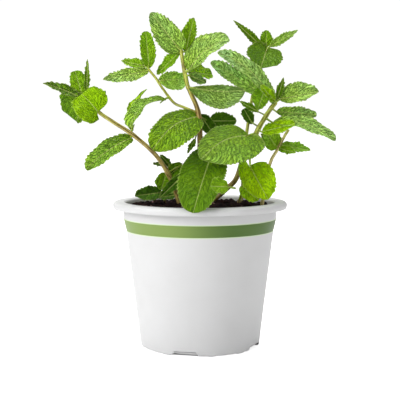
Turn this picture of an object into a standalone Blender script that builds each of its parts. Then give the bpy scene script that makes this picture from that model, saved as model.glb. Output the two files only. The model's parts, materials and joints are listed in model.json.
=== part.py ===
"""Potted mint plant: a thin round nursery pot, its soil, and the leafy stems that stand in it.

Sizes are in millimetres here and become metres as each mesh is made. +Z is up, the origin is the middle of the
pot's underside, and -Y is the front. A stem is a smooth curve through its joints. A leaf is a toothed blade on
an arched midrib, and it grows from the nearest point of its stem by a short stalk.
"""

import math

import bmesh
import bpy
import numpy as np

MM = 0.001
GAP = 0.3

# Driving dimensions of the pot.
BASE_RADIUS = 38.7
WALL_RADIUS = 47.8
WALL_HEIGHT = 75.5
COLLAR_RADIUS = 49.5
COLLAR_BOTTOM = 83.0
LIP_RADIUS = 57.0
LIP_UNDERSIDE = 89.8
RIM_TOP = 94.2
WALL = 1.2
FLOOR = 1.8
NOTCH_HEIGHT = 3.2
NOTCH_FOOT = 20.0
NOTCH_HEAD = 14.0
NOTCH_ANGLES = (-14.0, 66.0, 166.0, 246.0)

# Driving dimensions of the soil and of what grows in it.
SOIL_EDGE = 90.4
SOIL_MOUND = 1.4
SOIL_LUMPS = 0.7
ROOT_DEPTH = 14.0
BLADE_THICKNESS = 0.7
TOOTH = 0.07

# How a blade's half width swells and narrows: the powers of the way from the base and from the tip, and how far
# the lobes beside the stalk reach back, as a part of the length.
SHAPES = {
    "ovate": (0.50, 0.70, 0.0),
    "broad": (0.30, 0.60, 0.0),
    "round": (0.42, 0.45, 0.12),
    "heart": (0.36, 0.55, 0.25),
    "oblong": (0.40, 0.45, 0.0),
    "slim": (0.60, 0.95, 0.0),
    "wide_tip": (1.00, 0.60, 0.0),
    "square": (0.22, 0.30, 0.0),
    "blunt": (0.32, 0.38, 0.0),
}

FRONT = (0.0, -1.0, 0.25)
UP_FRONT = (0.0, -1.0, 0.6)


def leaf(base, tip, halves, face=FRONT, shape="ovate", bow=0.0, sweep=0.0, fold=15.0, lobes=None, stalk=None):
    """One leaf: where its blade starts and ends, its half widths left and right, and the way it faces. A stalk
    lists the points that it passes through from its stem; with none it runs straight from the stem."""
    return {
        "base": base,
        "tip": tip,
        "halves": halves,
        "face": face,
        "shape": shape,
        "bow": bow,
        "sweep": sweep,
        "fold": fold,
        "lobes": lobes,
        "stalk": stalk,
    }


def stem(joints, foot, top, leaves):
    """One stem: the points that it passes through, its radius at the foot and at the top, and its leaves."""
    return {"joints": joints, "foot": foot, "top": top, "leaves": leaves}


LEFT_ARCH = stem(
    [(-13, 2, 92), (-19, -4, 109), (-28, -9, 124), (-42, -14, 137), (-54, -16, 145), (-64, -17, 152),
     (-73, -14, 161)],
    1.8,
    1.2,
    [
        leaf((-64, -20, 152), (-74, -19, 163), (13.5, 11.5), (0.3, -1, 0.3), "square", 1, lobes=(0.3, 0)),
        leaf((-74, -10, 161), (-80, 2, 145.5), (6, 16.5), (-0.3, -1, 0.4), "round"),
        leaf((-76, -12, 161), (-99, -14, 170), (4.5, 4.5), (0.1, -0.8, 0.8), "slim", sweep=1),
        leaf((-75, -9, 163), (-80, -4, 178), (5.6, 6), shape="oblong"),
        leaf((-72, -9, 164), (-71, -12, 185), (2, 2), shape="slim"),
        leaf((-43, -15, 135.5), (-71, -26, 116), (7.2, 7), (-0.2, -1, 0.6), "oblong", 4),
        leaf((-43, -14, 140), (-34, -5, 166.5), (6.3, 6), (-1, -0.6, 0.3), "slim", 4),
        leaf((-12, -3, 117.5), (-20.5, -4, 110.5), (5, 5), shape="round"),
        leaf((-15, 4, 98), (-27, 2, 96), (4, 4), (0, -1, 1)),
    ],
)
LOW_LEFT = stem(
    [(-23, 11, 92), (-24, 10, 100), (-23, 8, 108), (-20, 8, 117)],
    1.0,
    0.8,
    [
        leaf((-25, 8, 99), (-42.5, 1, 97.5), (5.8, 5.8), UP_FRONT),
        leaf((-22.5, 7, 111), (-25.5, 4, 101), (5.5, 5.5), shape="round"),
        leaf((-19, 8, 116), (-26, 6, 124), (2.5, 2.5)),
        leaf((-22, 7, 118), (-31, 6, 118), (2, 2), shape="slim"),
    ],
)
CENTRE = stem(
    [(-2, -2, 92), (-1, -10, 115), (0, -18, 131), (-1, -16, 151), (-6, -14, 164), (-8, -13, 169),
     (-11, -10, 184), (-12, -9, 191)],
    2.0,
    1.2,
    [
        leaf((-12.5, -10, 190.5), (-31, -12, 214), (9, 8.2), (-0.2, -1, 0.3), "broad"),
        leaf((-9, -8, 190), (-4, 0, 212), (5.8, 4.4)),
        leaf((-12.5, -9, 190), (-28, 2, 176), (4.5, 4.5), UP_FRONT),
        leaf((-7, -13, 178), (18.5, -8, 198), (10.5, 8), (-0.4, -1, 0.8), "round", 3, -2, lobes=(0, 0)),
        leaf((-7, -8, 177), (8, 6, 176), (6.5, 5.5), UP_FRONT, "oblong"),
        leaf((-7, -14, 175), (4, -6, 170.5), (3.5, 3.5)),
        leaf((-8, -14, 167), (28, -22, 165), (3, 14.5), (0, -1, 0.3), "wide_tip"),
        leaf((-2, -17, 149), (-29, -38, 129), (12.5, 12), (-0.1, -1, 0.5), "round", 4, fold=4),
        leaf((8, -22, 127), (-4, -61, 92.5), (13, 15), (0, -1, 0.9), "blunt", 3, fold=8),
        leaf((6, 2, 146), (24, 10, 146), (6, 6)),
        leaf((0, -6, 150), (10, 2, 136), (5, 5)),
        leaf((-11, -12, 111.5), (-25.5, -14, 97.5), (3.8, 3.8)),
    ],
)
CENTRE_BRANCH = stem(
    [(-1, -15, 151), (-11, -13, 155), (-17, -10, 158), (-24, -8, 167), (-28, -6, 173), (-33, -4, 179)],
    1.0,
    0.9,
    [
        leaf((-32.5, -3, 180), (-35, 2, 203.5), (5, 5.5), shape="oblong"),
        leaf((-35, -3, 181), (-51, 4, 185), (4, 4), UP_FRONT, "slim"),
        leaf((-33, -5, 178), (-61.5, -10, 172.5), (6.5, 4.5), UP_FRONT),
        leaf((-24.5, -6, 172), (-9, 2, 173), (5.5, 8), shape="round"),
        leaf((-22, -13, 160), (-43, -32, 142.5), (7, 8), (-0.6, -0.6, 1), "oblong", 5, 2),
    ],
)
RIGHT = stem(
    [(8, 20, 92), (19, 16, 102), (24, 13, 108), (29, 10, 122), (33, 8, 127), (37, 4, 139), (44, 4, 151),
     (49, 4, 158)],
    2.0,
    1.5,
    [
        leaf((31, -8, 137), (0.5, -42, 123.5), (17.5, 14.5), (-0.1, -1, 0.5), "heart", 2, fold=3,
             lobes=(0.2, 0)),
        leaf((16, -54.5, 107.5), (6.5, -57, 108), (6.2, 6.2), (0, -1, 0.8), "round", fold=10,
             stalk=[(19, 16, 102), (22, -20, 104), (20, -46, 106)]),
        leaf((32, -14, 117), (42.5, -26, 97.5), (12, 12.5), shape="heart", lobes=(0.05, 0.28)),
        leaf((48, 2, 157), (11, -22, 188.5), (6, 6.2), (-0.5, -1, 0.8), "oblong", 2, 5),
        leaf((43, 6, 162), (7, 4, 184), (6, 6), (-0.3, -1, 0.6), "oblong"),
        leaf((42, 2, 167), (36.5, -12, 153), (5.5, 7)),
        leaf((38, 8, 152), (26, 14, 159), (2.5, 2.5), shape="slim"),
        leaf((34, 14, 145), (29, 17, 154), (4, 4), shape="round"),
        leaf((50, 3, 160), (54, 2, 174), (2.6, 2.6), shape="slim"),
        leaf((52, 3, 160), (76, -4, 165), (9.5, 6), UP_FRONT),
        leaf((48, 0, 159), (38.5, -8, 169), (3.5, 3.5)),
        leaf((50, 8, 152), (77, 14, 150), (4.5, 4.5), shape="oblong"),
        leaf((47, 0, 145), (86, -14, 134), (6, 7.5), (0, -0.8, 1), "oblong", 6),
        leaf((40, -2, 139), (60, -14, 144.5), (5, 5), (0, -1, 0.5), "oblong"),
    ],
)
FAR_RIGHT = stem(
    [(41, 8, 92), (46, 12, 117), (51, 12, 127), (55, 10, 135), (58, 10, 140)],
    1.3,
    1.0,
    [
        leaf((51, 12, 128), (42, 6, 140), (6.5, 6.5)),
        leaf((53, 12, 130), (72, 4, 127), (4.3, 4.3), (0, -1, 0.8)),
        leaf((52, 9, 128), (62, 1, 125.5), (3.5, 3.5), (0, -1, 0.6)),
        leaf((41, 14, 137), (44.5, 10, 128), (1.6, 1.6), shape="slim"),
    ],
)
UPPER_RIGHT = stem(
    [(26, 12, 93), (28, 16, 97), (30, 24, 126), (33, 29, 148), (36, 30, 166), (40, 26, 185), (45, 20, 194)],
    1.4,
    1.0,
    [
        leaf((28, 4, 103), (38, -3, 95), (6.5, 6), shape="round"),
        leaf((44, 18, 193), (39, 0, 180), (12.5, 12.5), shape="round", lobes=(0.12, 0.25)),
        leaf((43, 20, 193), (22, 18, 212), (3, 3), shape="slim"),
        leaf((44, 22, 195), (44, 24, 206), (4.5, 4.5)),
        leaf((46, 20, 195), (65, 22, 206), (3.3, 3.3), shape="slim"),
    ],
)

PLANTS = {
    "left_arching_stem": [LEFT_ARCH],
    "low_left_stem": [LOW_LEFT],
    "centre_stem": [CENTRE, CENTRE_BRANCH],
    "right_stem": [RIGHT],
    "far_right_stem": [FAR_RIGHT],
    "upper_right_stem": [UPPER_RIGHT],
}


def clear_scene():
    for thing in list(bpy.data.objects):
        bpy.data.objects.remove(thing, do_unlink=True)


def new_collection(name):
    group = bpy.data.collections.new(name)
    bpy.context.scene.collection.children.link(group)
    return group


def material(name, colour, roughness):
    made = bpy.data.materials.new(name)
    made.use_nodes = True
    shader = made.node_tree.nodes["Principled BSDF"]
    shader.inputs["Base Color"].default_value = (*colour, 1.0)
    shader.inputs["Roughness"].default_value = roughness
    shader.inputs["Metallic"].default_value = 0.0
    return made


def add_object(name, mesh, group, finish=None):
    thing = bpy.data.objects.new(name, mesh)
    group.objects.link(thing)
    if finish:
        mesh.materials.append(finish)
    return thing


def settle(thing):
    """Applies an object's modifiers, and welds what they leave doubled."""
    graph = bpy.context.evaluated_depsgraph_get()
    mesh = bpy.data.meshes.new_from_object(thing.evaluated_get(graph))
    shaped = bmesh.new()
    shaped.from_mesh(mesh)
    bmesh.ops.remove_doubles(shaped, verts=shaped.verts, dist=1e-6)
    shaped.to_mesh(mesh)
    shaped.free()
    thing.modifiers.clear()
    old = thing.data
    thing.data = mesh
    bpy.data.meshes.remove(old)


def turned(name, profile, steps, group, finish):
    """A body turned from (radius, height) points, in order up its inner side and down its outer side."""
    mesh = bpy.data.meshes.new(name)
    points = [(radius * MM, 0.0, height * MM) for radius, height in profile]
    mesh.from_pydata(points, [(i, i + 1) for i in range(len(points) - 1)], [])
    thing = add_object(name, mesh, group, finish)
    screw = thing.modifiers.new("turn", "SCREW")
    screw.axis = "Z"
    screw.steps = steps
    screw.render_steps = steps
    screw.use_merge_vertices = True
    screw.merge_threshold = 1e-5
    screw.use_smooth_shade = True
    return thing


def boolean(thing, operation, group):
    change = thing.modifiers.new(operation.lower(), "BOOLEAN")
    change.operation = operation
    change.operand_type = "COLLECTION"
    change.collection = group
    change.solver = "EXACT"


def remove_all(group):
    for thing in list(group.objects):
        bpy.data.objects.remove(thing, do_unlink=True)


def pot_profile():
    """The pot's section: up the inside, over the flat rim and its turned-down lip, and down the outside."""
    inner_base = BASE_RADIUS - WALL
    return [
        (0.0, FLOOR),
        (inner_base - 1.0, FLOOR),
        (inner_base, FLOOR + 1.0),
        (WALL_RADIUS - WALL, WALL_HEIGHT),
        (COLLAR_RADIUS - WALL, COLLAR_BOTTOM),
        (COLLAR_RADIUS - WALL, RIM_TOP - 1.4),
        (COLLAR_RADIUS - 0.4, RIM_TOP - 0.3),
        (COLLAR_RADIUS + 1.2, RIM_TOP),
        (LIP_RADIUS - 3.0, RIM_TOP - 0.3),
        (LIP_RADIUS - 1.0, RIM_TOP - 1.2),
        (LIP_RADIUS, RIM_TOP - 2.8),
        (LIP_RADIUS - 0.4, LIP_UNDERSIDE),
        (LIP_RADIUS - 1.6, LIP_UNDERSIDE),
        (LIP_RADIUS - 2.2, RIM_TOP - 2.6),
        (COLLAR_RADIUS + 1.2, RIM_TOP - 1.8),
        (COLLAR_RADIUS, RIM_TOP - 2.6),
        (COLLAR_RADIUS, COLLAR_BOTTOM),
        (WALL_RADIUS, WALL_HEIGHT),
        (BASE_RADIUS + 0.1, 1.0),
        (BASE_RADIUS - 0.9, 0.0),
        (0.0, 0.0),
    ]


def notch_cutter(index, angle, group):
    """A wedge that is broad at the foot and narrow at the head, through the wall's foot and the floor's edge."""
    shape = bmesh.new()
    bmesh.ops.create_cube(shape, size=1.0)
    inner = BASE_RADIUS - 4.0
    outer = BASE_RADIUS + 3.0
    for corner in shape.verts:
        up = corner.co.z > 0
        half = NOTCH_HEAD / 2 if up else NOTCH_FOOT / 2
        reach = outer if corner.co.y > 0 else inner
        height = NOTCH_HEIGHT if up else -1.0
        corner.co = (math.copysign(half, corner.co.x) * MM, reach * MM, height * MM)
    mesh = bpy.data.meshes.new(f"notch_{index}")
    shape.to_mesh(mesh)
    shape.free()
    cutter = add_object(f"notch_{index}", mesh, group)
    cutter.rotation_euler.z = math.pi + math.radians(angle)
    cutter.hide_render = True
    cutter.display_type = "WIRE"


def make_pot(group, cutters):
    finish = material("pot_plastic", (0.86, 0.87, 0.87), 0.42)
    pot = turned("pot", pot_profile(), 64, group, finish)
    for index, angle in enumerate(NOTCH_ANGLES):
        notch_cutter(index, angle, cutters)
    boolean(pot, "DIFFERENCE", cutters)


def inner_radius(height):
    """The radius of the pot's inner wall at a height."""
    radii = (BASE_RADIUS - WALL, WALL_RADIUS - WALL, COLLAR_RADIUS - WALL, COLLAR_RADIUS - WALL)
    return float(np.interp(height, (FLOOR + 1.0, WALL_HEIGHT, COLLAR_BOTTOM, RIM_TOP), radii))


def make_soil(group, cutters):
    """Soil that fills the pot, with a low uneven mound on top and a plain hole for each stem's foot."""
    finish = material("potting_soil", (0.03, 0.02, 0.016), 0.95)
    foot = NOTCH_HEIGHT + GAP
    edge = inner_radius(SOIL_EDGE) - GAP
    rings = [edge * part for part in (0.94, 0.83, 0.72, 0.61, 0.5, 0.4, 0.3, 0.2, 0.1)]
    top = [(radius, SOIL_EDGE + SOIL_MOUND * (1 - (radius / edge) ** 2)) for radius in rings]
    sides = [(inner_radius(z) - GAP, z) for z in (SOIL_EDGE - 0.6, COLLAR_BOTTOM, WALL_HEIGHT, 40.0)]
    profile = [(0.0, SOIL_EDGE + SOIL_MOUND)] + top[::-1] + sides
    profile += [(inner_radius(foot) - GAP, foot), (0.0, foot)]
    soil = turned("soil", profile, 40, group, finish)
    settle(soil)
    for point in soil.data.vertices:
        x, y, z = (value / MM for value in point.co)
        if z > SOIL_EDGE - 0.1 and math.hypot(x, y) < 0.96 * edge:
            lumps = math.sin(0.21 * x + 1.3) * math.sin(0.24 * y) + 0.4 * math.sin(0.32 * x - 0.27 * y)
            point.co.z += SOIL_LUMPS * lumps * MM
    boolean(soil, "DIFFERENCE", cutters)
    soil.data.shade_smooth()


def foot_hole(name, foot, radius, group):
    """A plain round hole in the soil for one stem's foot."""
    shape = bmesh.new()
    depth = ROOT_DEPTH + 8.0
    bmesh.ops.create_cone(
        shape,
        cap_ends=True,
        segments=12,
        radius1=(radius + GAP + 0.2) * MM,
        radius2=(radius + GAP + 0.2) * MM,
        depth=depth * MM,
    )
    mesh = bpy.data.meshes.new(name)
    shape.to_mesh(mesh)
    shape.free()
    cutter = add_object(name, mesh, group)
    x, y, z = foot
    cutter.location = (x * MM, y * MM, (z - ROOT_DEPTH - GAP + depth / 2) * MM)
    cutter.hide_render = True
    cutter.display_type = "WIRE"


def unit(vectors):
    return vectors / np.linalg.norm(vectors, axis=-1, keepdims=True)


def smooth_path(joints, count):
    """A Catmull-Rom curve through the joints: each span leaves and meets a joint along its neighbours' line."""
    ends = np.asarray(joints, float)
    ends = np.vstack([2 * ends[0] - ends[1], ends, 2 * ends[-1] - ends[-2]])
    spans = len(ends) - 3
    way = np.linspace(0, spans, count)
    at = np.minimum(way.astype(int), spans - 1)
    part = (way - at)[:, None]
    a, b, c, d = ends[at], ends[at + 1], ends[at + 2], ends[at + 3]
    return 0.5 * (
        2 * b
        + (c - a) * part
        + (2 * a - 5 * b + 4 * c - d) * part**2
        + (3 * b - a - 3 * c + d) * part**3
    )


def blade_points(one, rows, columns):
    """The blade's middle surface. Rows lie closer near both ends. A row's centre runs along the line from base to
    tip, lifted by bow towards the way the blade faces and by sweep to its right, most at half way. From there a
    column goes out to its half width, turned up by the fold. The half width is the way from the base and the way
    to the tip, each to a power, and it steps in and out at the edge for the teeth. The lobes pull the corners
    beside the stalk back.
    """
    way = np.linspace(0, 1, rows)[:, None, None]
    u = 0.5 * way + 0.25 * (1 - np.cos(np.pi * way))
    v = np.linspace(-1, 1, columns)[None, :, None]
    base = np.asarray(one["base"], float)
    line = np.asarray(one["tip"], float) - base
    length = np.linalg.norm(line)
    along = line / length
    face = np.asarray(one["face"], float)
    face = unit(face - (face @ along) * along)
    side = np.cross(along, face)
    rise = 4 * u * (1 - u)
    slope = 4 * (1 - 2 * u)
    lift = face * one["bow"] + side * one["sweep"]
    tangent = unit(along * length + lift * slope)
    normal = unit(face - (face * tangent).sum(-1, keepdims=True) * tangent)
    across = np.cross(tangent, normal)
    near, far, lobe = SHAPES[one["shape"]]
    crest = near / (near + far)
    swell = np.clip(u, 1e-4, 1) ** near * (1 - u) ** far / (crest**near * (1 - crest) ** far)
    left, right = one["halves"]
    teeth = 1 + TOOTH * np.where(np.arange(rows) % 2, 1, -1)[:, None, None] * v**2
    half = np.maximum(np.where(v < 0, left, right) * swell * teeth, 0.7)
    back_left, back_right = one["lobes"] or (lobe, lobe)
    back = np.where(v < 0, back_left, back_right) * length
    fold = math.radians(one["fold"])
    return (
        base
        + line * u
        + lift * rise
        + across * v * half * math.cos(fold)
        + normal * np.abs(v) * half * math.sin(fold)
        - tangent * back * v**2 * (1 - u) ** 4
    )


def make_blade(name, one, group):
    """A leaf's blade: its middle surface in triangles, given its thickness by Solidify."""
    wide = sum(one["halves"])
    rows, columns = (11, 5) if wide > 20 else (9, 3) if wide > 8 else (7, 3)
    points = blade_points(one, rows, columns).reshape(-1, 3) * MM
    faces = []
    for row in range(rows - 1):
        for column in range(columns - 1):
            a = row * columns + column
            b, c, d = a + columns, a + columns + 1, a + 1
            faces += [(a, b, c), (a, c, d)] if column < columns // 2 else [(a, b, d), (b, c, d)]
    mesh = bpy.data.meshes.new(name)
    mesh.from_pydata(points.tolist(), [], faces)
    mesh.update()
    blade = add_object(name, mesh, group)
    shell = blade.modifiers.new("thickness", "SOLIDIFY")
    shell.thickness = BLADE_THICKNESS * MM
    shell.offset = 0.0
    settle(blade)


def make_tube(name, points, radii, sides_level, group):
    """A round stem or stalk: a straight-segment curve with a bevel, made a welded mesh."""
    curve = bpy.data.curves.new(name, "CURVE")
    curve.dimensions = "3D"
    curve.bevel_depth = MM
    curve.bevel_resolution = sides_level
    curve.use_fill_caps = True
    spline = curve.splines.new("POLY")
    spline.points.add(len(points) - 1)
    for knot, place, radius in zip(spline.points, points, radii):
        knot.co = (*(place * MM), 1.0)
        knot.radius = radius
    guide = add_object(name, curve, group)
    graph = bpy.context.evaluated_depsgraph_get()
    mesh = bpy.data.meshes.new_from_object(guide.evaluated_get(graph))
    shaped = bmesh.new()
    shaped.from_mesh(mesh)
    bmesh.ops.remove_doubles(shaped, verts=shaped.verts, dist=1e-6)
    shaped.to_mesh(mesh)
    shaped.free()
    bpy.data.objects.remove(guide, do_unlink=True)
    return add_object(name, mesh, group)


def stalk_path(one, path):
    """From the stem to the blade's base, and a little way along its midrib."""
    base = np.asarray(one["base"], float)
    tip = np.asarray(one["tip"], float)
    inside = base + 0.15 * (tip - base)
    if one["stalk"]:
        return np.array([*one["stalk"], base, inside])
    away = np.linalg.norm(path - base, axis=1)
    nearest = path[np.argmin(away)]
    if away.min() < 3.0:
        return np.array([nearest, inside])
    return np.array([nearest, base, inside])


def make_plant(name, stems, finish, group, cutters):
    """One leafy stem as one body: stem, branches, stalks and blades joined by a union."""
    loose = new_collection(name + "_pieces")
    main = None
    for number, one in enumerate(stems):
        path = smooth_path(one["joints"], 3 * len(one["joints"]))
        if number == 0:
            foot = path[0]
            buried = foot - np.array([[0, 0, ROOT_DEPTH], [0, 0, ROOT_DEPTH / 2]])
            path = np.vstack([buried, path])
            foot_hole(name + "_hole", foot, one["foot"], cutters)
        radii = np.linspace(one["foot"], one["top"], len(path))
        tube = make_tube(f"{name}_{number}", path, radii, 1, group if number == 0 else loose)
        main = main or tube
        for index, blade in enumerate(one["leaves"]):
            stalk = stalk_path(blade, path)
            make_tube(f"{name}_{number}_stalk_{index}", stalk, [0.75] * len(stalk), 1, loose)
            make_blade(f"{name}_{number}_blade_{index}", blade, loose)
    boolean(main, "UNION", loose)
    settle(main)
    remove_all(loose)
    bpy.data.collections.remove(loose)
    main.name = name
    main.data.materials.clear()
    main.data.materials.append(finish)
    main.data.shade_smooth()
    main.data.set_sharp_from_angle(angle=math.radians(40))


def main():
    clear_scene()
    parts = new_collection("potted_mint_plant")
    notches = new_collection("notch_cutters")
    holes = new_collection("hole_cutters")
    make_pot(parts, notches)
    for name, stems in PLANTS.items():
        finish = material(name + "_green", (0.10, 0.26, 0.04), 0.55)
        make_plant(name, stems, finish, parts, holes)
    make_soil(parts, holes)


main()
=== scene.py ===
"""Potted mint plant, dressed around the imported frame.

Leaves, stems, soil and pot are numpy surfaces in millimetres, put into meshes in metres. A leaf is a toothed,
quilted shell on an arched midrib. A stem is a ribbed tube along a smooth curve. The soil is a bed of crumbs.
The pot is a turned wall with a rolled rim, drain notches and a green band.
"""

import json
import math

import bpy
import numpy as np
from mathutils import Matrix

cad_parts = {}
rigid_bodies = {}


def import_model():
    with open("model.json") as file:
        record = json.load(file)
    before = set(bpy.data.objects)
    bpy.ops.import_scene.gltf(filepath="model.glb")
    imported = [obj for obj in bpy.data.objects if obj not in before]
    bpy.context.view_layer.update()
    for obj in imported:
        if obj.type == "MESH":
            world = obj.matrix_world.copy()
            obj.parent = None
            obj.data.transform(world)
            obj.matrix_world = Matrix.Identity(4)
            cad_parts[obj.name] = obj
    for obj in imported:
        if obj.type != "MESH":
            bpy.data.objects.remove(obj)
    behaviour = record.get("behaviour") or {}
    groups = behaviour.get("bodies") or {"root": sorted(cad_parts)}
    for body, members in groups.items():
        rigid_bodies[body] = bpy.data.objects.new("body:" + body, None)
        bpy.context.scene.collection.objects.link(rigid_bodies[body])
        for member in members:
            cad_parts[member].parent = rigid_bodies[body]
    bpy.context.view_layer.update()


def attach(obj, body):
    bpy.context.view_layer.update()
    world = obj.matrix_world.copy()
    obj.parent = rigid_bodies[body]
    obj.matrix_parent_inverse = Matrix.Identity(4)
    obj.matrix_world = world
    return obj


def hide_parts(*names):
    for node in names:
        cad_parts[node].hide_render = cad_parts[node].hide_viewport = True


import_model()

MM = 0.001
FRONT = (0.0, -1.0, 0.25)
UP_FRONT = (0.0, -1.0, 0.6)

# Leaf greens: the first five from shaded to sunlit, painted shade and light, the last four from young and
# soft to silvery, the paler, bluer silvery ones partly painted sheen.
DEEP, MOSS, GRASS, LIME, SUN = (80, 125, 15), (110, 155, 15), (145, 195, 25), (175, 225, 10), (195, 245, 15)
SPRING, SAGE, SILVER_SHEEN, PALE_SHEEN = (160, 210, 55), (160, 205, 85), (190, 235, 100), (205, 250, 125)

# Half-width laws: powers of the way from the base and from the tip, and how far the lobes reach back.
SHAPES = {
    "ovate": (0.50, 0.70, 0.0),
    "broad": (0.30, 0.60, 0.0),
    "round": (0.42, 0.45, 0.12),
    "heart": (0.36, 0.55, 0.25),
    "oblong": (0.40, 0.45, 0.0),
    "slim": (0.60, 0.95, 0.0),
    "wide_tip": (1.00, 0.60, 0.0),
    "square": (0.22, 0.30, 0.0),
    "blunt": (0.32, 0.38, 0.0),
}


def linear(colour):
    """Display values of 0 to 255 as linear light, by the sRGB curve."""
    share = np.asarray(colour, float) / 255
    return np.where(share <= 0.04045, share / 12.92, ((share + 0.055) / 1.055) ** 2.4)


def unit(vectors):
    return vectors / np.maximum(np.linalg.norm(vectors, axis=-1, keepdims=True), 1e-12)


def smooth_step(low, high, value):
    share = np.clip((value - low) / (high - low), 0, 1)
    return share * share * (3 - 2 * share)


def leaf(base, tip, halves, face=FRONT, shape="ovate", bow=0.0, sweep=0.0, fold=15.0, lobes=None, stalk=None,
         tint=MOSS, sheen=False, curve=0.0, quilt=0.22, tooth=0.8):
    """One leaf: where its blade starts and ends, its half widths left and right, the way it faces, its
    colour, how far its midrib curves to the right, and the heights in mm of its quilting and teeth."""
    return dict(base=base, tip=tip, halves=halves, face=face, shape=shape, bow=bow, sweep=sweep, fold=fold,
                lobes=lobes, stalk=stalk, tint=tint, sheen=sheen, curve=curve, quilt=quilt, tooth=tooth)


def stem(joints, foot, top, bark, skin, leaves):
    """One stem: the points it passes through, its radius at the foot and top, how far up its bark reaches,
    the bark's colour, and its leaves."""
    return dict(joints=joints, foot=foot, top=top, bark=bark, skin=skin, leaves=leaves)


LEFT_ARCH = stem(
    [(-13, 2, 92), (-19, -4, 109), (-28, -9, 124), (-42, -14, 137), (-54, -16, 145), (-64, -17, 152),
     (-73, -14, 161)],
    1.8, 1.2, 0.75, (188, 168, 100),
    [
        leaf((-64, -20, 152), (-74, -19, 163), (13.5, 11.5), (0.3, -1, 0.3), "square", 1, lobes=(0.3, 0),
             tint=LIME, quilt=0.15, tooth=0.9),
        leaf((-74, -10, 161), (-80, 2, 145.5), (6, 16.5), (-0.3, -1, 0.4), "round", tint=MOSS,
             quilt=0.4),
        leaf((-76, -12, 161), (-99, -14, 170), (4.5, 4.5), (0.1, -0.8, 0.8), "slim", sweep=1,
             tint=MOSS, sheen=True),
        leaf((-75, -9, 163), (-80, -4, 178), (5.6, 6), shape="oblong", tint=GRASS),
        leaf((-72, -9, 164), (-71, -12, 185), (2, 2), shape="slim", tint=MOSS),
        leaf((-43, -15, 135.5), (-71, -26, 116), (7.2, 7), (-0.2, -1, 0.6), "oblong", 4, tint=SPRING,
             sheen=True, quilt=0.35),
        leaf((-43, -14, 140), (-34, -5, 166.5), (6.3, 6), (-1, -0.6, 0.3), "slim", 4, tint=LIME,
             sheen=True, quilt=0.3),
        leaf((-12, -3, 117.5), (-20.5, -4, 110.5), (5, 5), shape="round", tint=MOSS),
        leaf((-15, 4, 98), (-27, 2, 96), (4, 4), (0, -1, 1), tint=DEEP),
    ],
)
LOW_LEFT = stem(
    [(-23, 11, 92), (-24, 10, 100), (-23, 8, 108), (-20, 8, 117)],
    1.0, 0.8, 0.5, (120, 100, 60),
    [
        leaf((-25, 8, 99), (-42.5, 1, 97.5), (5.8, 5.8), UP_FRONT, tint=DEEP),
        leaf((-22.5, 7, 111), (-25.5, 4, 101), (5.5, 5.5), shape="round", tint=GRASS),
        leaf((-19, 8, 116), (-26, 6, 124), (2.5, 2.5), tint=DEEP),
        leaf((-22, 7, 118), (-31, 6, 118), (2, 2), shape="slim", tint=DEEP),
    ],
)
CENTRE = stem(
    [(-2, -2, 92), (-1, -10, 115), (0, -18, 131), (-1, -16, 151), (-6, -14, 164), (-8, -13, 169),
     (-11, -10, 184), (-12, -9, 191)],
    2.0, 1.2, 0.62, (150, 122, 66),
    [
        leaf((-12.5, -10, 190.5), (-31, -12, 214), (9, 8.2), (-0.2, -1, 0.3), "broad", tint=SILVER_SHEEN,
             sheen=True, quilt=0.35),
        leaf((-9, -8, 190), (-4, 0, 212), (5.8, 4.4), tint=GRASS),
        leaf((-12.5, -9, 190), (-28, 2, 176), (4.5, 4.5), UP_FRONT, tint=GRASS),
        leaf((-7, -13, 178), (18.5, -8, 198), (10.5, 8), (-0.4, -1, 0.8), "round", 3, -2, lobes=(0, 0),
             tint=SILVER_SHEEN, sheen=True, quilt=0.35),
        leaf((-7, -8, 177), (8, 6, 176), (6.5, 5.5), UP_FRONT, "oblong", tint=LIME, sheen=True),
        leaf((-7, -14, 175), (4, -6, 170.5), (3.5, 3.5), tint=SAGE, sheen=True),
        leaf((-8, -14, 167), (28, -22, 165), (3, 14.5), (0, -1, 0.3), "wide_tip", tint=SAGE,
             sheen=True, curve=0.1, quilt=0.3),
        leaf((-2, -17, 149), (-29, -38, 129), (12.5, 12), (-0.1, -1, 0.5), "round", 4, fold=4,
             tint=GRASS, lobes=(0.05, 0.05), sheen=True, curve=0.22, quilt=0.25),
        leaf((8, -22, 127), (-4, -61, 92.5), (13, 15), (0, -1, 0.9), "blunt", 3, fold=8, tint=MOSS,
             quilt=0.3, tooth=0.95),
        leaf((6, 2, 146), (24, 10, 146), (6, 6), tint=DEEP),
        leaf((0, -6, 150), (10, 2, 136), (5, 5), tint=DEEP),
        leaf((-11, -12, 111.5), (-25.5, -14, 97.5), (3.8, 3.8), tint=DEEP),
        leaf((-3, -19, 135), (-8, -22, 126), (2.0, 1.8), shape="slim", stalk=[(-1, -17, 142)],
             tint=MOSS),
    ],
)
CENTRE_BRANCH = stem(
    [(-1, -15, 151), (-11, -13, 155), (-17, -10, 158), (-24, -8, 167), (-28, -6, 173), (-33, -4, 179)],
    1.0, 0.9, 0.0, (150, 122, 66),
    [
        leaf((-32.5, -3, 180), (-35, 2, 203.5), (5, 5.5), shape="oblong", tint=GRASS),
        leaf((-35, -3, 181), (-51, 4, 185), (4, 4), UP_FRONT, "slim", tint=GRASS),
        leaf((-33, -5, 178), (-61.5, -10, 172.5), (6.5, 4.5), UP_FRONT, tint=SILVER_SHEEN, sheen=True,
             quilt=0.35),
        leaf((-24.5, -6, 172), (-9, 2, 173), (5.5, 8), shape="round", tint=SILVER_SHEEN),
        leaf((-22, -13, 160), (-43, -32, 142.5), (7, 8), (-0.6, -0.6, 1), "oblong", 5, 2, tint=SPRING,
             sheen=True, quilt=0.3),
    ],
)
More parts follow.
